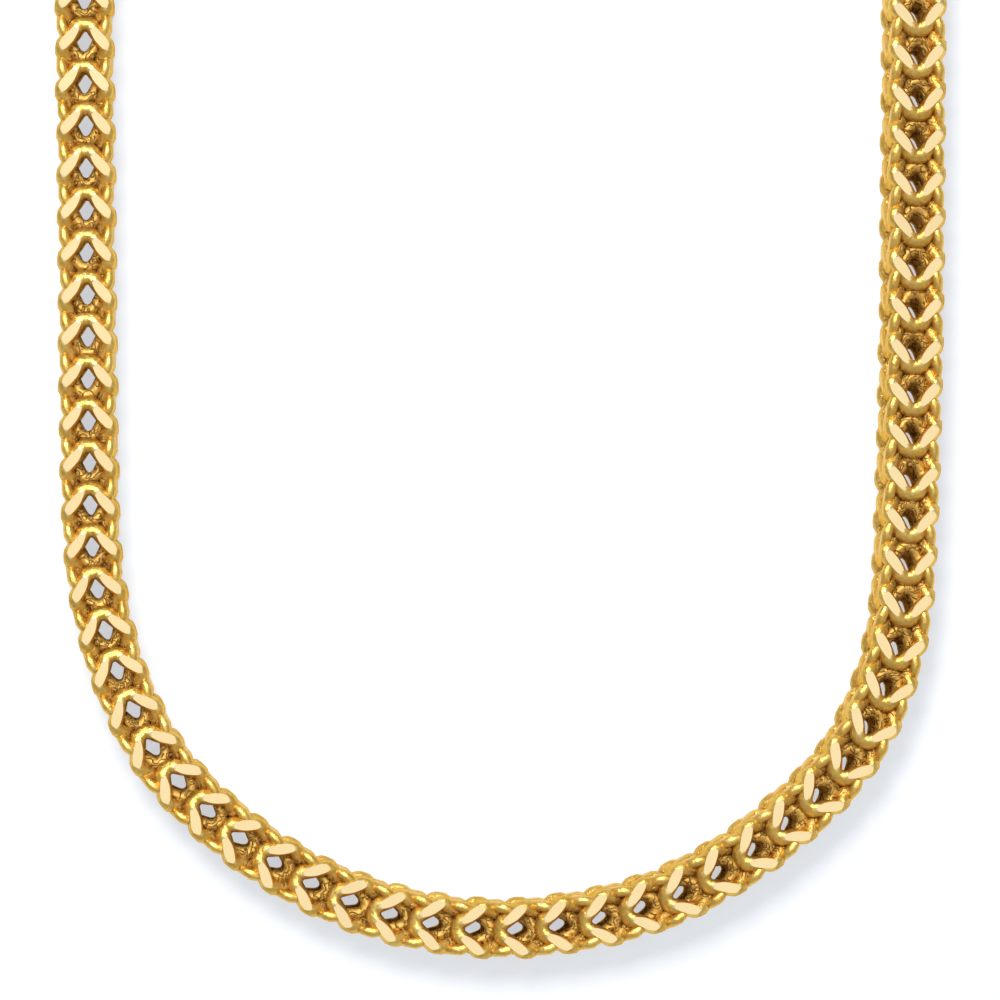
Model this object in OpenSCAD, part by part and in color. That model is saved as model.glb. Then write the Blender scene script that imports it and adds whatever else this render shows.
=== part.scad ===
// Franco chain necklace, laid out flat as a whole loop.
// +Z is up, the chain lies on z = 0, and the origin is under the middle of the loop.
// The two strands run along Y, the lowest bend of the loop is towards -Y and the clasp is at +Y.

/* [Loop] */
// Width of the loop, between the middles of its two strands
loop_w = 85; // [80:1:95]
// Length of the loop, from the middle of its lowest bend to the clasp line
loop_len = 199; // [190:1:210]

/* [Chain] */
// Width and height of the square chain, in millimetres
chain_w = 6; // [6:0.1:7.5]
// Bevel on each long edge of the chain, where the links turn the corner
edge_bevel = 0.5; // [0.4:0.1:1.2]
// Angle that the +X strand is rolled over by, as it lies, in degrees
strand_roll = 9; // [0:1:14]
// Cross sections along the chain
sections = 78; // [40:2:80]

/* [End caps] */
// Length of the square block at each end of the chain
cap_len = 3; // [2:0.1:5]
// Bevel on the block's edges
cap_bevel = 0.5; // [0.2:0.1:0.8]
// Gap between the chain's last link and the block
cap_gap = 0.1; // [0.05:0.05:0.3]

/* [Eyes] */
// Radius of the hole in each eye
eye_hole_r = 1.2; // [1.1:0.05:1.3]
// Width of metal round the hole
eye_rim = 1; // [0.8:0.05:1.1]
// Thickness of each end cap's eye
eye_t = 1.6; // [1.2:0.1:2]

/* [Jump rings] */
// Radius to the middle of the ring's wire
ring_r = 2.45; // [2.4:0.05:2.5]
// Thickness of the ring's wire
ring_wire = 0.9; // [0.7:0.05:1]

/* [Clasp] */
// Length from the clasp's eye to the far end of its mouth
clasp_reach = 12; // [10:0.5:16]
// Widest part of the clasp
clasp_w = 7.2; // [6:0.1:9]
// Thickness of the clasp
clasp_t = 2; // [1.6:0.1:2]
// Metal round the clasp's mouth
clasp_wall = 1.5; // [1.2:0.1:1.5]
// Clearance between the mouth's end and the ring in it
mouth_gap = 0.4; // [0.4:0.05:0.6]

/* [Hidden] */
$fn = 48;
gold = [0.84, 0.65, 0.27];

// Middle height of the chain and of all that is fastened to it
mid_z = chain_w / 2;
// Outer radius of an eye
eye_r = eye_hole_r + eye_rim;
// From a block's face to the middle of its eye, so that the rim is sunk a little into the block
eye_out = eye_r - 0.2;

// Places along the clasp line, from the start of the chain at -X to its finish at +X
clasp_line = 2 * (cap_len + eye_out) + 4 * ring_r + clasp_reach - mouth_gap - ring_wire / 2;
start_x = -clasp_line / 2;
start_eye_x = start_x + cap_len + eye_out;
start_ring_x = start_eye_x + ring_r;
clasp_eye_x = start_ring_x + ring_r;
mouth_x = clasp_eye_x + clasp_reach;
finish_ring_x = mouth_x - mouth_gap - ring_wire / 2 + ring_r;
finish_eye_x = finish_ring_x + ring_r;
finish_x = finish_eye_x + eye_out + cap_len;

// The chain's route, from the start of the clasp line down the -X strand, round the bend and back up.
// x is measured from the middle of the loop, y up from the lowest point of the chain's middle line.
// The points were chosen at a loop width of 85, so wide stretches them to the width that is set.
top_y = loop_len;
wide = loop_w / 85;
route = [
    [start_x - cap_gap, top_y], [-23.5 * wide, top_y - 1], [-31.5 * wide, top_y - 5], [-38 * wide, top_y - 13],
    [-41.5 * wide, top_y - 25], [-42.5 * wide, top_y - 40], [-42.5 * wide, 125], [-42.5 * wide, 95],
    [-42.3 * wide, 75], [-42.1 * wide, 54], [-41.7 * wide, 39], [-40.4 * wide, 31], [-38.2 * wide, 24],
    [-34.4 * wide, 17], [-29 * wide, 11.3], [-22.7 * wide, 6.6], [-15.5 * wide, 3], [-8 * wide, 0.8],
    [0, 0], [8 * wide, 0.7], [15.8 * wide, 2.7], [23 * wide, 6.2], [29.5 * wide, 11], [35.1 * wide, 16.7],
    [38.9 * wide, 23.6], [40.9 * wide, 31], [41.6 * wide, 39], [42.1 * wide, 54], [42.4 * wide, 75],
    [42.5 * wide, 95], [42.5 * wide, 125], [42.5 * wide, top_y - 40], [41.5 * wide, top_y - 25],
    [38 * wide, top_y - 13], [31.5 * wide, top_y - 5], [23.5 * wide, top_y - 1], [finish_x + cap_gap, top_y]
];
// Shift that puts the middle of the loop over the origin
shift_y = -top_y / 2;

// Route as a smooth curve: a cubic through the points, with each slope taken from the point's neighbours
function slope(i) =
    let (n = len(route) - 1)
    i == 0 ? [-norm(route[1] - route[0]), 0]
    : i == n ? [-norm(route[n] - route[n - 1]), 0]
    : (route[i + 1] - route[i - 1]) / 2;
function cubic(a, b, da, db, t) =
    a * (2 * t^3 - 3 * t^2 + 1) + da * (t^3 - 2 * t^2 + t) + b * (3 * t^2 - 2 * t^3) + db * (t^3 - t^2);
steps = 8;
fine = [
    for (i = [0 : len(route) - 2], k = [0 : steps - 1])
        cubic(route[i], route[i + 1], slope(i), slope(i + 1), k / steps),
    route[len(route) - 1]
];

// Distance along the curve at each fine point, and the point at a given distance
function running(p) = [for (i = 0, s = 0; i < len(p);
    s = s + (i + 1 < len(p) ? norm(p[i + 1] - p[i]) : 0), i = i + 1) s];
along = running(fine);
chain_len = along[len(along) - 1];
function find(s, lo, hi) =
    hi - lo <= 1 ? lo : let (m = floor((lo + hi) / 2)) along[m] <= s ? find(s, m, hi) : find(s, lo, m);
function place(s) =
    let (i = find(s, 0, len(fine) - 1), f = (s - along[i]) / (along[i + 1] - along[i]))
    fine[i] * (1 - f) + fine[i + 1] * f;
function heading(s) =
    let (e = 0.5, a = place(max(s - e, 0)), b = place(min(s + e, chain_len)), d = b - a)
    d / norm(d);

// Roll of the chain about its own line: none on the -X strand, growing round the bend, and none again at the clasp
function ease(f) = let (g = min(max(f, 0), 1)) g * g * (3 - 2 * g);
roll_start = 0.4;
roll_full = 0.66;
roll_back = 0.8;
function roll(s) =
    let (f = s / chain_len)
    strand_roll * (ease((f - roll_start) / (roll_full - roll_start)) - ease((f - roll_back) / (0.98 - roll_back)));

// Square section with bevelled edges, across the route and up
half = chain_w / 2;
// Height of the chain's middle line where it is rolled, with its lowest edge on the surface
function line_z(r) = half * cos(r) + (half - edge_bevel) * sin(r);
section = [
    [half, -half + edge_bevel], [half, half - edge_bevel], [half - edge_bevel, half], [-half + edge_bevel, half],
    [-half, half - edge_bevel], [-half, -half + edge_bevel], [-half + edge_bevel, -half], [half - edge_bevel, -half]
];

module chain() {
    // The run of links as one tube, its section swept along the route
    m = len(section);
    points = [
        for (k = [0 : sections - 1])
            let (s = chain_len * k / (sections - 1),
                 p = place(s),
                 h = k == 0 || k == sections - 1 ? [-1, 0] : heading(s),
                 side = [-h[1], h[0]],
                 r = roll(s))
            for (q = section)
                let (across = q[0] * cos(r) - q[1] * sin(r), up = q[0] * sin(r) + q[1] * cos(r))
                [p[0] + side[0] * across, p[1] + side[1] * across + shift_y, line_z(r) + up]
    ];
    faces = concat(
        [[for (j = [0 : m - 1]) j]],
        [for (k = [0 : sections - 2], j = [0 : m - 1])
            [k * m + j, (k + 1) * m + j, (k + 1) * m + (j + 1) % m, k * m + (j + 1) % m]],
        [[for (j = [m - 1 : -1 : 0]) (sections - 1) * m + j]]
    );
    color(gold) polyhedron(points, faces, convexity = 6);
}

// Square block with bevelled long edges and an eye on its +X face
module end_cap() {
    color(gold) difference() {
        union() {
            translate([0, 0, -half])
                linear_extrude(chain_w)
                    polygon([[0, -half], [cap_len - cap_bevel, -half], [cap_len, -half + cap_bevel],
                        [cap_len, half - cap_bevel], [cap_len - cap_bevel, half], [0, half]]);
            translate([cap_len + eye_out, 0, -eye_t / 2])
                cylinder(r = eye_r, h = eye_t);
        }
        translate([cap_len + eye_out, 0, -chain_w])
            cylinder(r = eye_hole_r, h = 2 * chain_w);
    }
}

module end_cap_start() {
    translate([start_x, top_y + shift_y, mid_z]) end_cap();
}

module end_cap_finish() {
    translate([finish_x, top_y + shift_y, mid_z]) rotate([0, 0, 180]) end_cap();
}

// Plain ring standing on edge along the clasp line
module jump_ring(x) {
    color(gold)
        translate([x, top_y + shift_y, mid_z])
            rotate([90, 0, 0])
                rotate_extrude() translate([ring_r, 0]) circle(d = ring_wire);
}

module jump_ring_start() {
    jump_ring(start_ring_x);
}

module jump_ring_finish() {
    jump_ring(finish_ring_x);
}

// Lobster clasp: an eye, a neck and a rounded body with a closed mouth
module clasp() {
    body_r = clasp_w / 2;
    tip_r = clasp_w / 2 - 0.9;
    tip_x = clasp_reach + clasp_wall - tip_r;
    body_x = tip_x - 3;
    mouth_r = tip_r - clasp_wall;
    color(gold)
        translate([clasp_eye_x, top_y + shift_y, mid_z - clasp_t / 2])
            linear_extrude(clasp_t)
                difference() {
                    union() {
                        circle(r = eye_r);
                        translate([0, -eye_rim * 1.1]) square([body_x, eye_rim * 2.2]);
                        translate([body_x, 0]) circle(r = body_r);
                        translate([body_x, -tip_r]) square([tip_x - body_x, 2 * tip_r]);
                        translate([tip_x, 0]) circle(r = tip_r);
                        translate([body_x - 1.6, body_r - 0.7]) circle(r = 0.9);
                    }
                    circle(r = eye_hole_r);
                    translate([tip_x, 0]) circle(r = mouth_r);
                    translate([body_x, -mouth_r]) square([tip_x - body_x, 2 * mouth_r]);
                    translate([body_x, 0]) circle(r = mouth_r);
                }
}

chain();
end_cap_start();
jump_ring_start();
clasp();
jump_ring_finish();
end_cap_finish();
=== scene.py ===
import math

import bmesh
import bpy
import numpy as np
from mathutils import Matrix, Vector


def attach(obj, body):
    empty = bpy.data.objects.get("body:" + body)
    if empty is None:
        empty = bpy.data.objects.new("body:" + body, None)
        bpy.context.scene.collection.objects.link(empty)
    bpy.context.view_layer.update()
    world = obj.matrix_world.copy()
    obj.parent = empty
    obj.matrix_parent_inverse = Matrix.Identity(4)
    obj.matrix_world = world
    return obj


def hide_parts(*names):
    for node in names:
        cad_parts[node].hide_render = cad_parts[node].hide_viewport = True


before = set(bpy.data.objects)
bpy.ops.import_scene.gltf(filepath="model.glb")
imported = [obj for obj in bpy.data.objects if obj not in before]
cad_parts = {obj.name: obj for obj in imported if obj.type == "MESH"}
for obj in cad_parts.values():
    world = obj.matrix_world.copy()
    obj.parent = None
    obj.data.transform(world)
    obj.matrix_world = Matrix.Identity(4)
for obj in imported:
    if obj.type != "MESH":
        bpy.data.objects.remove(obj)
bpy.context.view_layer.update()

# Sizes, in millimetres where nothing else is said.
# The chain's width, roll and route are as in the part's source.
MM = 0.001
CHAIN_W = 6.0
HALF = CHAIN_W / 2
EDGE_BEVEL = 0.5
# Roll of the right-hand stretch in degrees. It grows between the first two of these shares of the chain's
# length and fades between the last two.
STRAND_ROLL = 9.0
ROLL_START, ROLL_FULL, ROLL_BACK, ROLL_GONE = 0.4, 0.66, 0.8, 0.98
# The links of that stretch lean over along the chain, which narrows the holes seen through it. The lean is for
# each millimetre of height. It grows between these shares of the length and fades with the roll.
LINK_LEAN = 0.22
LEAN_START, LEAN_FULL = 0.33, 0.62

# The chain's route: x from the middle of the loop, y up from its lowest point
CLASP_HALF = 15.475
CAP_GAP = 0.1
TOP_Y = 199.0
ROUTE = [
    (-CLASP_HALF - CAP_GAP, TOP_Y), (-23.5, TOP_Y - 1), (-31.5, TOP_Y - 5), (-38, TOP_Y - 13),
    (-41.5, TOP_Y - 25), (-42.5, TOP_Y - 40), (-42.5, 125), (-42.5, 95), (-42.3, 75), (-42.1, 54),
    (-41.7, 39), (-40.4, 31), (-38.2, 24), (-34.4, 17), (-29, 11.3), (-22.7, 6.6), (-15.5, 3), (-8, 0.8),
    (0, 0), (8, 0.7), (15.8, 2.7), (23, 6.2), (29.5, 11), (35.1, 16.7), (38.9, 23.6), (40.9, 31),
    (41.6, 39), (42.1, 54), (42.4, 75), (42.5, 95), (42.5, 125), (42.5, TOP_Y - 40),
    (41.5, TOP_Y - 25), (38, TOP_Y - 13), (31.5, TOP_Y - 5), (23.5, TOP_Y - 1),
    (CLASP_HALF + CAP_GAP, TOP_Y),
]
SHIFT_Y = -TOP_Y / 2
# A link's heading is taken between the points this far before and after its middle
HEADING_REACH = 1.5

# Links: half the wire's thickness, and about how far each stands ahead of the last, which is of the other set
WIRE_R = 0.667
LINK_ADVANCE = 2.154
# How far the first and last links reach past the route's ends, into the caps that hold them
END_SUNK = 0.4
# One quarter of a folded link, from the fold to the middle of its end loop:
# across the face, out from the chain's middle, and along the chain from the fold
LINK_QUARTER = [
    (0.0, 2.12, 0.0), (0.5, 2.29, 0.12), (0.9, 2.4, 0.58), (1.5, 2.49, 1.42), (2.23, 2.38, 2.42),
    (1.98, 2.0, 3.12), (1.5, 1.3, 4.42), (1.54, 0.74, 5.3), (1.58, 0.0, 5.59),
]
LINK_REACH = 5.6
# The side links stand in a little from the chain's sides, so that the face links' corners make its outline
SIDE_IN = 0.93
# Along the link, where its wire stops facing the chain's face and starts turning to the sides
TURN_START, TURN_LENGTH = 2.85, 1.6
# The wire is pressed wider along the fold and the arms, more on its outer side than inside the V,
# and is round again from here on
WIDE_OUTER, WIDE_INNER = 1.35, 1.05
ROUND_START, ROUND_LENGTH = 3.0, 1.2
# Depth under the chain's faces where the gold starts to be painted darker as shade and made duller, and where
# that is full
RECESS_SHADE_START, RECESS_SHADE_FULL = 0.3, 0.9
# Sections round a link, and how much closer together they stand along the arms, where the cut flats are.
# The arms run along the link from where the first ramp rises to where the second one ends.
LINK_STEPS = 80
ARM_DETAIL = 1.2
ARM_RAMP = 0.4
ARM_END, ARM_END_RAMP = 2.3, 0.6
# Points of each section on its flat and on its round side
FLAT_COLUMNS = 3
ROUND_COLUMNS = 8
# Half the angle of the smallest flat, in radians, which the flat's columns also span where nothing is cut,
# and how far the wire may have turned to the sides and still be cut
LEAST_CUT = 0.14
CUT_TURN = 0.2
# Small unevenness from link to link: its tilt in radians and its place
TILT_SPREAD = 0.012
NUDGE_SPREAD = 0.02

# Gold: what it reflects at a grazing angle, and the dark colour of the curled lines painted as shade in the
# recesses
GRAZING_TINT = (0.85, 0.62, 0.3)
GROOVE_SHADE_TONE = (0.24, 0.12, 0.025)
# Grain of the slow change of tone, the polishing marks and the curled lines, for each metre
TONE_GRAIN, MARKS_GRAIN, CURLS_GRAIN = 500.0, 2600.0, 950.0

# Photograph: its scale and the point of the loop that lies in its middle
PHOTO_PX = 1000
PX_PER_MM = 9.75
VIEW_X = 0.1
VIEW_Y = 43.9
CAMERA_HEIGHT = 1200.0
SENSOR_W = 36.0
# Direction of the bright top of the tent, which the cut faces of both strands reflect
BRIGHT_SIDE = (0.19, -0.1, 1.0)


# Route of the chain

def route_points(steps=24):
    """Smooth cubic through the route's points, each slope taken from the two neighbours."""
    p = np.array(ROUTE, float)
    slope = np.zeros_like(p)
    slope[1:-1] = (p[2:] - p[:-2]) / 2
    slope[0] = (-np.linalg.norm(p[1] - p[0]), 0)
    slope[-1] = (-np.linalg.norm(p[-1] - p[-2]), 0)
    t = np.arange(steps)[None, :, None] / steps
    a, b = p[:-1, None], p[1:, None]
    da, db = slope[:-1, None], slope[1:, None]
    curve = a * (2 * t**3 - 3 * t**2 + 1) + da * (t**3 - 2 * t**2 + t)
    curve = curve + b * (3 * t**2 - 2 * t**3) + db * (t**3 - t**2)
    curve = np.vstack([curve.reshape(-1, 2), p[-1:]])
    curve[:, 1] += SHIFT_Y
    along = np.concatenate([[0], np.cumsum(np.linalg.norm(np.diff(curve, axis=0), axis=1))])
    return curve, along


CURVE, ALONG = route_points()
CHAIN_LEN = ALONG[-1]


def on_route(s):
    """Point of the route at each distance s."""
    return np.stack([np.interp(s, ALONG, CURVE[:, i]) for i in (0, 1)], -1)


def ease(f):
    """Smooth step from 0 to 1."""
    g = np.clip(f, 0, 1)
    return g * g * (3 - 2 * g)


def grown(s, start, full):
    """Share of its full value that the roll or lean has at distance s."""
    f = s / CHAIN_LEN
    return ease((f - start) / (full - start)) - ease((f - ROLL_BACK) / (ROLL_GONE - ROLL_BACK))


def roll_at(s):
    """Roll of the chain about its own line at distance s, in radians."""
    return np.radians(STRAND_ROLL * grown(s, ROLL_START, ROLL_FULL))


def lean_at(s):
    """How far the links' tops lean ahead of their undersides at distance s, for each millimetre of height."""
    return LINK_LEAN * grown(s, LEAN_START, LEAN_FULL)


# One folded link

def closed_spline(points, count):
    """Closed cubic spline through the points, its knots spaced by the root of their distances."""
    n = len(points)
    h = np.linalg.norm(np.roll(points, -1, 0) - points, axis=1) ** 0.5
    before = np.roll(h, 1)
    a = np.zeros((n, n))
    i = np.arange(n)
    a[i, (i - 1) % n] = before
    a[i, i] = 2 * (before + h)
    a[i, (i + 1) % n] = h
    rise = (np.roll(points, -1, 0) - points) / h[:, None]
    m = np.linalg.solve(a, 6 * (rise - np.roll(rise, 1, 0)))
    knots = np.concatenate([[0], np.cumsum(h)])
    t = np.linspace(0, knots[-1], count, endpoint=False)
    k = np.clip(np.searchsorted(knots, t, side="right") - 1, 0, n - 1)
    u = (t - knots[k])[:, None]
    w = h[k][:, None] - u
    hk = h[k][:, None]
    p, q = points[k], points[(k + 1) % n]
    mp, mq = m[k], m[(k + 1) % n]
    out = (mp * w**3 + mq * u**3) / (6 * hk)
    return out + (p / hk - mp * hk / 6) * w + (q / hk - mq * hk / 6) * u


def link_line(count, fine_count=1600):
    """Middle line of a folded link: the quarter mirrored across both faces. Its points stand evenly, and closer
    together along the arms."""
    q = np.array(LINK_QUARTER, float)
    whole = np.vstack([
        q,
        q[-2::-1] * [1, -1, 1],
        q[1:] * [-1, -1, 1],
        q[-2:0:-1] * [-1, 1, 1],
    ])
    fine = closed_spline(whole, fine_count)
    loop = np.vstack([fine, fine[:1]])
    length = np.linalg.norm(np.diff(loop, axis=0), axis=1)
    z = (loop[1:, 2] + loop[:-1, 2]) / 2
    arm = ease(z / ARM_RAMP) * (1 - ease((z - ARM_END) / ARM_END_RAMP))
    s = np.concatenate([[0], np.cumsum(length * (1 + ARM_DETAIL * arm))])
    even = np.linspace(0, s[-1], count, endpoint=False)
    return np.stack([np.interp(even, s, loop[:, i]) for i in range(3)], -1)


def link_rings():
    """Wire sections round the link's line, and which of them have a flat. A section is a circle that is pressed
    wider along the fold and the arms. Where it stands past the chain's face it is cut off: the columns of the
    flat lie between the two angles at which the circle meets the face, and the rest share the round side. What
    still stands past a face or a side of the chain is brought back to it."""
    line = link_line(LINK_STEPS)
    tangent = np.roll(line, -1, 0) - np.roll(line, 1, 0)
    tangent /= np.linalg.norm(tangent, axis=1)[:, None]
    x, y, z = line.T
    # Outward: square to the face along the arms, turning to the side faces along the end loops
    turn = ease((z - TURN_START) / TURN_LENGTH) * np.pi / 2
    out = np.stack([np.sign(x) * np.sin(turn), np.sign(y + 1e-9) * np.cos(turn), np.zeros_like(x)], -1)
    a = out - (out * tangent).sum(1)[:, None] * tangent
    a /= np.linalg.norm(a, axis=1)[:, None]
    b = np.cross(tangent, a)
    # Half the angle of the circle that stands past the face
    room = (HALF - np.abs(y)) / (WIRE_R * np.maximum(np.abs(a[:, 1]), 1e-6))
    cut = np.where(turn < CUT_TURN, np.arccos(np.clip(room, -1, 1)), 0)[:, None]
    edge = np.maximum(cut, LEAST_CUT)
    flat = -edge + 2 * edge * np.arange(FLAT_COLUMNS) / (FLAT_COLUMNS - 1)
    rest = edge + (2 * np.pi - 2 * edge) * np.arange(1, ROUND_COLUMNS + 1) / (ROUND_COLUMNS + 1)
    angle = np.hstack([flat, rest])
    # On the flat the columns come in from the circle to the straight cut between its two edges
    reach = np.ones_like(angle)
    reach[:, :FLAT_COLUMNS] = np.where(cut > LEAST_CUT, np.cos(np.maximum(cut, 1e-3)) / np.cos(flat), 1.0)
    inward = np.sign(b[:, 2] - np.sign(x) * b[:, 0] + 1e-9)[:, None]
    pressed = 1 - ease((z - ROUND_START) / ROUND_LENGTH)[:, None]
    inner, outer = (1 + (w - 1) * pressed for w in (WIDE_INNER, WIDE_OUTER))
    width = np.where(np.sin(angle) * inward > 0, inner, outer)
    ring = line[:, None] + WIRE_R * reach[..., None] * (
        np.cos(angle)[..., None] * a[:, None] + (width * np.sin(angle))[..., None] * b[:, None]
    )
    ring[..., :2] = np.clip(ring[..., :2], -HALF, HALF)
    return ring, cut[:, 0] > LEAST_CUT


# Chain of links

def link_places(first, seed):
    """Distance along the route, small tilt, small shift and tone of every second link, from the first on."""
    fold = WIRE_R * WIDE_OUTER - END_SUNK
    room = CHAIN_LEN + END_SUNK - LINK_REACH - WIRE_R - fold
    count = round(room / LINK_ADVANCE) + 1
    number = np.arange(first, count, 2)
    s = fold + room / (count - 1) * number
    rng = np.random.default_rng(seed)
    tilt = rng.normal(0, TILT_SPREAD, (len(number), 3))
    nudge = rng.normal(0, NUDGE_SPREAD, (len(number), 2))
    tone = rng.random(len(number))
    return s, tilt, nudge, tone


def placed_links(ring, first, seed):
    """Points of all links of one set, and each link's tone. A link is tilted and moved a little, leaned along
    the chain and rolled with it, and set in the frame of the route at its middle. The odd set is a quarter
    turn round, so it makes the sides."""
    s, tilt, nudge, tone = link_places(first, seed)
    s = s + LINK_REACH / 2
    across, out, along = ring[..., 0], ring[..., 1], ring[..., 2] - LINK_REACH / 2
    if first % 2:
        across, out = -out * SIDE_IN, across
    local = np.stack([across, out, along], -1).reshape(1, -1, 3)
    local = local + np.cross(tilt[:, None], local)
    centre = on_route(s)
    ahead = on_route(s + HEADING_REACH) - on_route(s - HEADING_REACH)
    ahead /= np.linalg.norm(ahead, axis=1)[:, None]
    side = np.stack([-ahead[:, 1], ahead[:, 0]], -1)
    roll = roll_at(s)[:, None]
    lift = HALF * np.cos(roll) + (HALF - EDGE_BEVEL) * np.sin(roll)
    u, v = local[..., 0] + nudge[:, :1], local[..., 1]
    w = local[..., 2] + nudge[:, 1:] + lean_at(s)[:, None] * v
    # The face that looks up is the out side, and the chain's left is the across side
    level = u * np.cos(roll) - v * np.sin(roll)
    x = centre[:, :1] + level * side[:, :1] + w * ahead[:, :1]
    y = centre[:, 1:] + level * side[:, 1:] + w * ahead[:, 1:]
    z = lift + (u * np.sin(roll) + v * np.cos(roll))
    return np.stack([x, y, np.maximum(z, 0.0)], -1).reshape(-1, 3) * MM, tone


def wire_faces(n, m):
    """Faces between the n sections of m points of one closed wire, turned outwards."""
    i, j = np.meshgrid(np.arange(n), np.arange(m), indexing="ij")
    here, on = i * m + j, ((i + 1) % n) * m + j
    right, on_right = i * m + (j + 1) % m, ((i + 1) % n) * m + (j + 1) % m
    return np.stack([right, on_right, on, here], -1).reshape(-1, 4)


def point_value(mesh, name, values):
    """A number kept at each point of the mesh, for its material to read."""
    mesh.attributes.new(name, "FLOAT", "POINT").data.foreach_set("value", values.astype(np.float32))


def mark_flat_edges(mesh, has_flat, n, m):
    """Sharp edges where a cut flat meets the round wire."""
    pairs = np.zeros(len(mesh.edges) * 2, np.int32)
    mesh.edges.foreach_get("vertices", pairs)
    pairs = pairs.reshape(-1, 2)
    row, column = (pairs // m) % n, pairs % m
    same = column[:, 0] == column[:, 1]
    border = (column[:, 0] == 0) | (column[:, 0] == FLAT_COLUMNS - 1)
    cut = has_flat[row[:, 0]] & has_flat[row[:, 1]]
    mesh.edges.foreach_set("use_edge_sharp", same & border & cut)


def chain_mesh(name, first, seed, materials):
    """All links of one set as one mesh, in the wire's material and the paler material of the cut flats, whose
    lighter colour is a painted highlight.
    """
    ring, has_flat = link_rings()
    n, m = ring.shape[:2]
    verts, tone = placed_links(ring, first, seed)
    count = len(tone)
    faces = (wire_faces(n, m)[None] + (np.arange(count) * n * m)[:, None, None]).reshape(-1, 4)
    both = has_flat & np.roll(has_flat, -1)
    is_flat = (both[:, None] & (np.arange(m) < FLAT_COLUMNS - 1)).reshape(-1)
    mesh = bpy.data.meshes.new(name)
    mesh.from_pydata(verts, [], faces.tolist())
    mesh.polygons.foreach_set("use_smooth", np.ones(len(faces), bool))
    mesh.polygons.foreach_set("material_index", np.tile(is_flat, count).astype(np.int32))
    for material in materials:
        mesh.materials.append(material)
    mark_flat_edges(mesh, has_flat, n, m)
    # How deep each point lies under the faces, which sets where the gold is painted darker as shade
    depth = HALF - np.abs(ring[..., :2]).max(-1).reshape(-1)
    recess_shade = ease((depth - RECESS_SHADE_START) / (RECESS_SHADE_FULL - RECESS_SHADE_START))
    point_value(mesh, "link_tone", np.repeat(tone, n * m))
    point_value(mesh, "recess_shade", np.tile(recess_shade, count))
    mesh.update()
    piece = bpy.data.objects.new(name, mesh)
    bpy.context.collection.objects.link(piece)
    return piece


# Materials

def socket(group, name, kind, way, value=None):
    """A named input or output of a shader group."""
    s = group.interface.new_socket(name, in_out=way, socket_type=kind)
    if value is not None:
        s.default_value = value


def calc(tree, operation, *values):
    """Result of one operation: each value is an output to link or a number to set."""
    node = tree.nodes.new("ShaderNodeMath")
    node.operation = operation
    for place, value in zip(node.inputs, values):
        if isinstance(value, float):
            place.default_value = value
        else:
            tree.links.new(value, place)
    return node.outputs[0]


def noise(tree, vector, grain, detail, roughness=0.5, distortion=0.0):
    """Smooth noise between 0 and 1."""
    node = tree.nodes.new("ShaderNodeTexNoise")
    node.inputs["Scale"].default_value = grain
    node.inputs["Detail"].default_value = detail
    node.inputs["Roughness"].default_value = roughness
    node.inputs["Distortion"].default_value = distortion
    tree.links.new(vector, node.inputs["Vector"])
    return node.outputs["Fac"]


def spread(tree, value, start, end):
    """Value moved from the start range to the end range, and held inside it."""
    node = tree.nodes.new("ShaderNodeMapRange")
    for name, number in zip(("From Min", "From Max", "To Min", "To Max"), start + end):
        node.inputs[name].default_value = number
    tree.links.new(value, node.inputs["Value"])
    return node.outputs["Result"]


def blend(tree, factor, a, b):
    """Colour from a, which is an output or a colour, to the colour b."""
    node = tree.nodes.new("ShaderNodeMix")
    node.data_type = "RGBA"
    tree.links.new(factor, node.inputs["Factor"])
    if isinstance(a, tuple):
        node.inputs["A"].default_value = (*a, 1)
    else:
        tree.links.new(a, node.inputs["A"])
    node.inputs["B"].default_value = (*b, 1)
    return node.outputs["Result"]


def stored(tree, name):
    """Number kept at the mesh's points under a name."""
    node = tree.nodes.new("ShaderNodeAttribute")
    node.attribute_name = name
    return node.outputs["Fac"]


def gold_wear_group():
    """Shared unevenness of worked gold: a slow change of tone, fine polishing marks, which Streak draws out
    across the strands, and curled lines, 1 on a line and 0 away from it."""
    tree = bpy.data.node_groups.new("gold_working", "ShaderNodeTree")
    socket(tree, "Vector", "NodeSocketVector", "INPUT")
    socket(tree, "Streak", "NodeSocketFloat", "INPUT", 1.0)
    for name in ("Tone", "Marks", "Curls"):
        socket(tree, name, "NodeSocketFloat", "OUTPUT")
    start = tree.nodes.new("NodeGroupInput")
    end = tree.nodes.new("NodeGroupOutput")
    vector = start.outputs["Vector"]
    stretch = tree.nodes.new("ShaderNodeCombineXYZ")
    stretch.inputs["X"].default_value = 1.0
    stretch.inputs["Z"].default_value = 1.0
    tree.links.new(start.outputs["Streak"], stretch.inputs["Y"])
    pull = tree.nodes.new("ShaderNodeVectorMath")
    pull.operation = "MULTIPLY"
    tree.links.new(vector, pull.inputs[0])
    tree.links.new(stretch.outputs[0], pull.inputs[1])
    tone = noise(tree, vector, TONE_GRAIN, 3.0)
    marks = noise(tree, pull.outputs[0], MARKS_GRAIN, 4.0, roughness=0.6)
    level = noise(tree, vector, CURLS_GRAIN, 1.0, distortion=1.2)
    from_line = calc(tree, "ABSOLUTE", calc(tree, "SUBTRACT", level, 0.5))
    curls = spread(tree, from_line, (0.0, 0.075), (1.0, 0.0))
    tree.links.new(tone, end.inputs["Tone"])
    tree.links.new(marks, end.inputs["Marks"])
    tree.links.new(curls, end.inputs["Curls"])
    return tree


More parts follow.
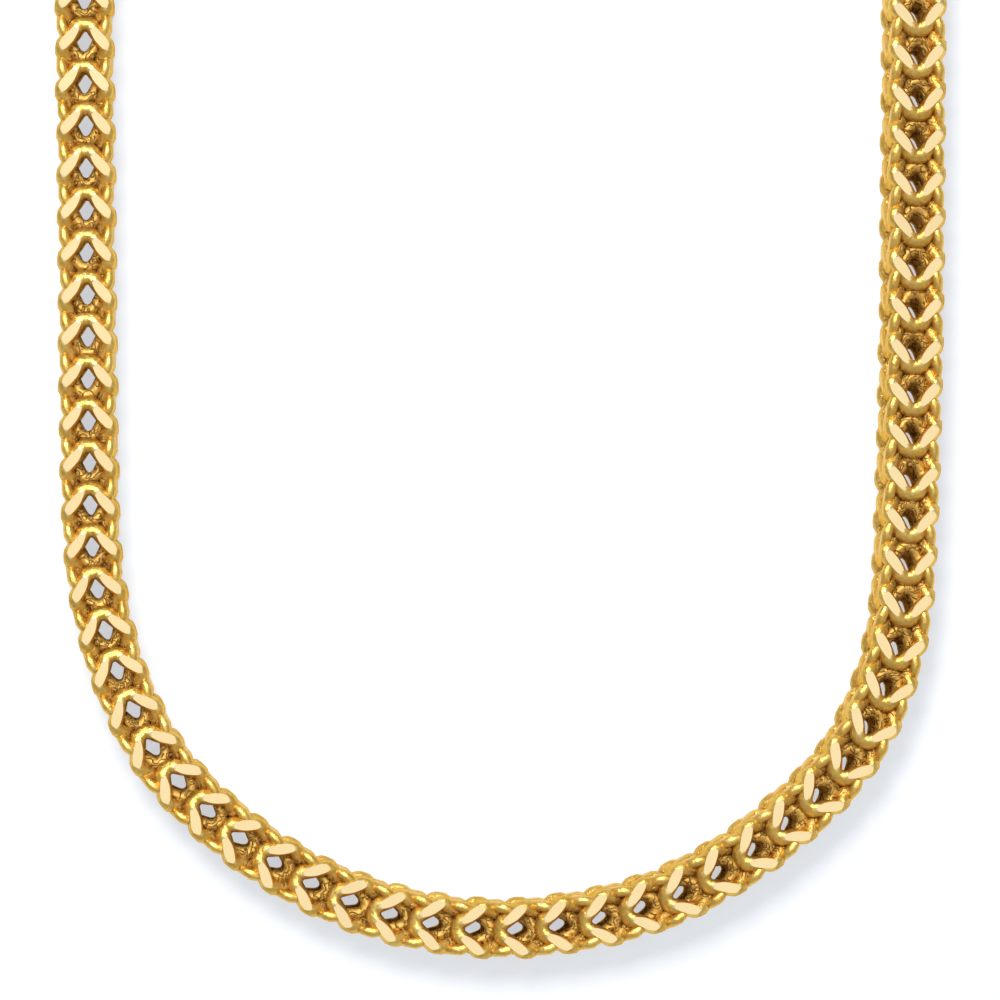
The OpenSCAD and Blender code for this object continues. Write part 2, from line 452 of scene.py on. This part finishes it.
def gold(name, working, low, high, rough, bump, streak=1.0, link_tone=False, recess_shade=None):
    """Polished gold between two tones, with fine marks in its gloss and a slight waviness. Each link can have a
    tone of its own. With a colour for painted shade, wire deep under the faces is painted darker as shade: it
    takes that colour in places, is duller and is scored with curled lines painted dark as shade."""
    mat = bpy.data.materials.new(name)
    mat.use_nodes = True
    tree = mat.node_tree
    bsdf = tree.nodes["Principled BSDF"]
    bsdf.inputs["Metallic"].default_value = 1.0
    bsdf.inputs["Specular Tint"].default_value = (*GRAZING_TINT, 1)
    where = tree.nodes.new("ShaderNodeTexCoord")
    work = tree.nodes.new("ShaderNodeGroup")
    work.node_tree = working
    work.inputs["Streak"].default_value = streak
    tree.links.new(where.outputs["Object"], work.inputs["Vector"])
    marks = work.outputs["Marks"]
    tone = work.outputs["Tone"]
    if link_tone:
        own = calc(tree, "MULTIPLY_ADD", stored(tree, "link_tone"), 0.4, -0.6)
        tone = calc(tree, "MULTIPLY_ADD", marks, 1.8, own)
    colour = blend(tree, tone, low, high)
    gloss = spread(tree, marks, (0.3, 0.7), rough)
    height = marks
    if recess_shade is not None:
        # Painted shade: deep under the faces the colour darkens in places and along dark curled lines, and the
        # gloss gets duller
        deep = stored(tree, "recess_shade")
        patches = calc(tree, "MULTIPLY", deep, spread(tree, marks, (0.38, 0.6), (0.25, 1.1)))
        shaded_groove = calc(tree, "MULTIPLY", deep, work.outputs["Curls"])
        colour = blend(tree, shaded_groove, blend(tree, patches, colour, recess_shade), GROOVE_SHADE_TONE)
        gloss = calc(tree, "MULTIPLY_ADD", deep, 0.25, gloss)
        height = calc(tree, "MULTIPLY_ADD", shaded_groove, -1.2, marks)
    wave = tree.nodes.new("ShaderNodeBump")
    wave.inputs["Strength"].default_value = bump
    wave.inputs["Distance"].default_value = 0.1 * MM
    tree.links.new(height, wave.inputs["Height"])
    tree.links.new(colour, bsdf.inputs["Base Color"])
    tree.links.new(gloss, bsdf.inputs["Roughness"])
    tree.links.new(wave.outputs["Normal"], bsdf.inputs["Normal"])
    return mat


# Caps, rings and clasp

def fitting(node, material):
    """A cap, ring or clasp: a copy of the solid with its doubles merged and its corners eased, and its shading
    weighted to the large faces so that they look flat."""
    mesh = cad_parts[node].data.copy()
    mesh.name = node + "_polished"
    bm = bmesh.new()
    bm.from_mesh(mesh)
    bmesh.ops.remove_doubles(bm, verts=bm.verts, dist=1e-6)
    bmesh.ops.dissolve_limit(bm, angle_limit=math.radians(1), verts=bm.verts, edges=bm.edges)
    bm.to_mesh(mesh)
    bm.free()
    mesh.materials.clear()
    mesh.materials.append(material)
    piece = bpy.data.objects.new(node + "_polished", mesh)
    bpy.context.collection.objects.link(piece)
    bevel = piece.modifiers.new("eased_edges", "BEVEL")
    bevel.width = 0.25 * MM
    bevel.segments = 3
    bevel.limit_method = "ANGLE"
    bevel.angle_limit = math.radians(35)
    bevel.use_clamp_overlap = False
    even = piece.modifiers.new("flat_faces", "WEIGHTED_NORMAL")
    even.weight = 100
    mesh.shade_smooth()
    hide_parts(node)
    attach(piece, "root")


# Surroundings

def floor_piece():
    """Plain pale surface that the necklace lies on. It gives out most of its light itself, as a light table
    does, and throws back little of what falls on it, so it stays pale and the shadow on it stays soft."""
    mesh = bpy.data.meshes.new("floor")
    r = 1.5
    mesh.from_pydata([(-r, -r, 0), (r, -r, 0), (r, r, 0), (-r, r, 0)], [], [(0, 1, 2, 3)])
    floor = bpy.data.objects.new("floor", mesh)
    bpy.context.collection.objects.link(floor)
    mat = bpy.data.materials.new("pale_paper")
    mat.use_nodes = True
    bsdf = mat.node_tree.nodes["Principled BSDF"]
    bsdf.inputs["Base Color"].default_value = (0.43, 0.43, 0.43, 1)
    bsdf.inputs["Roughness"].default_value = 0.9
    bsdf.inputs["Specular IOR Level"].default_value = 0.1
    bsdf.inputs["Emission Color"].default_value = (0.52, 0.56, 0.615, 1)
    bsdf.inputs["Emission Strength"].default_value = 1.0
    mesh.materials.append(mat)


def tent():
    """White tent: a world that is brightest round one direction overhead and dimmer low down."""
    world = bpy.data.worlds.new("tent")
    bpy.context.scene.world = world
    world.use_nodes = True
    tree = world.node_tree
    back = tree.nodes["Background"]
    where = tree.nodes.new("ShaderNodeTexCoord")
    toward = tree.nodes.new("ShaderNodeVectorMath")
    toward.operation = "DOT_PRODUCT"
    toward.inputs[1].default_value = Vector(BRIGHT_SIDE).normalized()
    tree.links.new(where.outputs["Generated"], toward.inputs[0])
    ramp = tree.nodes.new("ShaderNodeValToRGB")
    stops = ramp.color_ramp.elements
    stops[0].position, stops[0].color = 0.0, (0.34, 0.34, 0.34, 1)
    stops[1].position, stops[1].color = 0.965, (1.02, 1.02, 1.02, 1)
    stops.new(0.9).color = (0.52, 0.52, 0.52, 1)
    tree.links.new(toward.outputs["Value"], ramp.inputs["Fac"])
    tree.links.new(ramp.outputs["Color"], back.inputs["Color"])
    back.inputs["Strength"].default_value = 1.0


def key_light():
    """Soft box up and to the left, which throws the shadow to the lower right."""
    place, aim = Vector((-0.19, 0.42, 0.9)), Vector((0, -0.05, 0))
    data = bpy.data.lights.new("key_box", "AREA")
    data.shape = "RECTANGLE"
    data.size, data.size_y = 0.4, 0.4
    data.energy = 9.5
    light = bpy.data.objects.new("key_box", data)
    light.location = place
    light.rotation_euler = (aim - place).to_track_quat("-Z", "Y").to_euler()
    bpy.context.collection.objects.link(light)


def photo_camera():
    """Camera straight above the lower part of the loop, as in the photograph."""
    data = bpy.data.cameras.new("camera")
    camera = bpy.data.objects.new("camera", data)
    bpy.context.collection.objects.link(camera)
    camera.location = (VIEW_X * MM, (VIEW_Y + SHIFT_Y) * MM, CAMERA_HEIGHT * MM)
    camera.rotation_euler = (0, 0, 0)
    view_w = PHOTO_PX / PX_PER_MM
    data.sensor_width = SENSOR_W
    data.lens = SENSOR_W * (CAMERA_HEIGHT - HALF) / view_w
    data.clip_end = 10.0
    bpy.context.scene.camera = camera


working = gold_wear_group()
# The links' gold is painted darker as shade deep in its hollows
polished = gold("polished_link_gold", working, (0.73, 0.44, 0.078), (0.97, 0.67, 0.20), (0.32, 0.42), 0.8,
                link_tone=True, recess_shade=(0.68, 0.43, 0.118))
# The cut flats are painted paler than the wire: a painted highlight for the bright top of the tent that they
# reflect
cut_flat_highlight_gold = gold("diamond_cut_gold_painted_highlight", working, (0.94, 0.73, 0.37), (0.98, 0.78, 0.43), (0.15, 0.20), 0.01,
                streak=6.0)
fitting_gold = gold("fitting_gold", working, (0.82, 0.52, 0.13), (0.9, 0.6, 0.19), (0.25, 0.35), 0.1)

for set_name, first, seed in (("face_links", 0, 11), ("side_links", 1, 23)):
    links_piece = chain_mesh(set_name, first, seed, (polished, cut_flat_highlight_gold))
    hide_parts("chain")
    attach(links_piece, "root")

for part in ("end_cap_start", "jump_ring_start", "clasp", "jump_ring_finish", "end_cap_finish"):
    fitting(part, fitting_gold)

floor_piece()
tent()
key_light()
photo_camera()
bpy.context.scene.view_settings.view_transform = "Standard"
